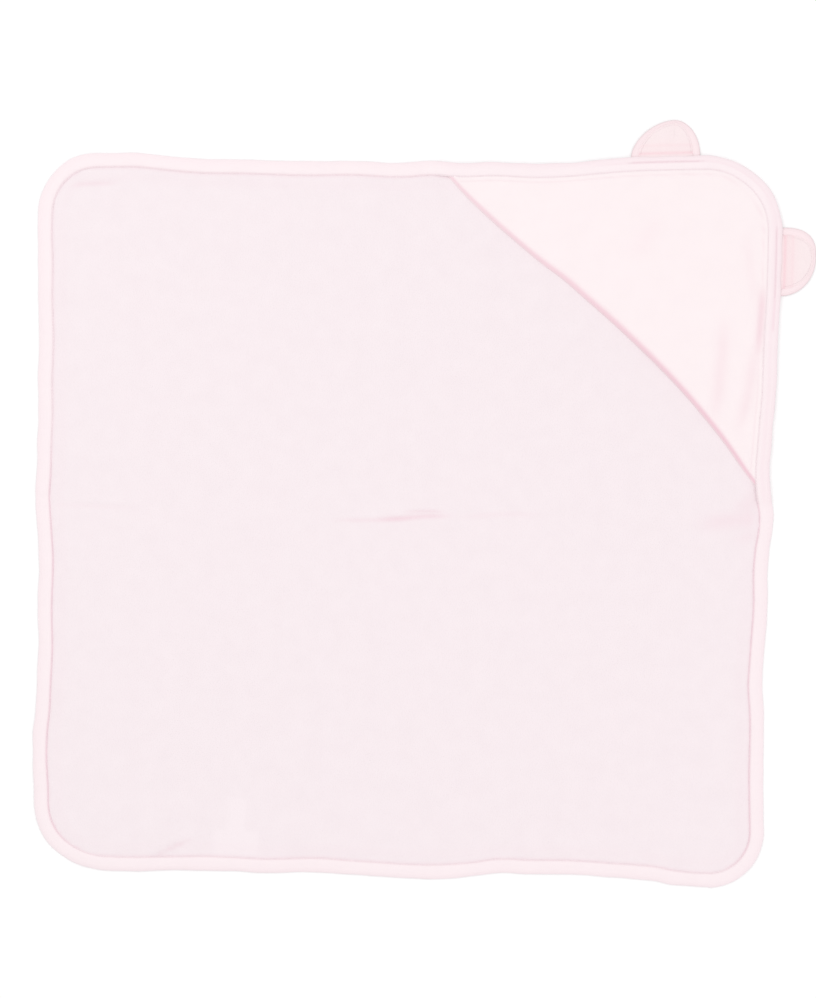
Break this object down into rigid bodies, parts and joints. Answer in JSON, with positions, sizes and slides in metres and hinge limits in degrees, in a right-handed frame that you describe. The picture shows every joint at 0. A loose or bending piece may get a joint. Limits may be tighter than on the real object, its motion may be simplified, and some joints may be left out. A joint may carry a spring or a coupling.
{
  "type": "hooded baby towel",
  "caption": "Square terry baby towel with rounded corners, a taped edge and a lined corner hood with small round ears, lying open and face up.",
  "frame": {"origin": "on the surface that the towel lies on, under the middle of the whole outline with its ears", "axes": "+Z out of the face, +Y towards the head end, +X towards the side that has the hood"},
  "size_m": [0.786, 0.771, 0.0058],
  "materials": {
    "terry": "looped terry",
    "jersey": "smooth knit",
    "binding": "soft ribbed tape",
    "ear_terry": "looped terry",
    "thread": "polyester sewing thread",
    "label": "satin tape"
  },
  "bodies": {
    "head_half": {"body_panel_head": "terry", "binding_head": "binding", "binding_stitching_head": "thread", "ear_seam_stitching": "thread"},
    "foot_half": {"body_panel_foot": "terry", "binding_foot": "binding", "binding_stitching_foot": "thread", "care_label": "label", "blank_label": "label"},
    "hood": {"hood_outer": "jersey", "hood_lining": "terry", "hood_mouth_seam": "thread"},
    "top_ear": {"ear_top_front": "ear_terry", "ear_top_back": "jersey", "ear_top_stitching": "thread"},
    "side_ear": {"ear_side_front": "ear_terry", "ear_side_back": "jersey", "ear_side_stitching": "thread"}
  },
  "joints": [
    {"name": "fold_in_half", "type": "hinge", "parent": "head_half", "child": "foot_half", "pos_m": [-0.018, -0.018, 0.006], "axis": [-1, 0, 0], "range_deg": [0, 150]},
    {"name": "hood_lift", "type": "hinge", "parent": "head_half", "child": "hood", "pos_m": [0.3365, 0.329, 0.0023], "axis": [-0.7071, 0.7071, 0], "range_deg": [0, 24], "deforming": ["hood_outer", "hood_lining", "hood_mouth_seam"]},
    {"name": "top_ear_fold", "type": "hinge", "parent": "head_half", "child": "top_ear", "pos_m": [0.24, 0.3495, 0.0043], "axis": [1, 0, 0], "range_deg": [0, 165]},
    {"name": "side_ear_fold", "type": "hinge", "parent": "head_half", "child": "side_ear", "pos_m": [0.357, 0.2405, 0.0043], "axis": [0, -1, 0], "range_deg": [0, 165]}
  ]
}
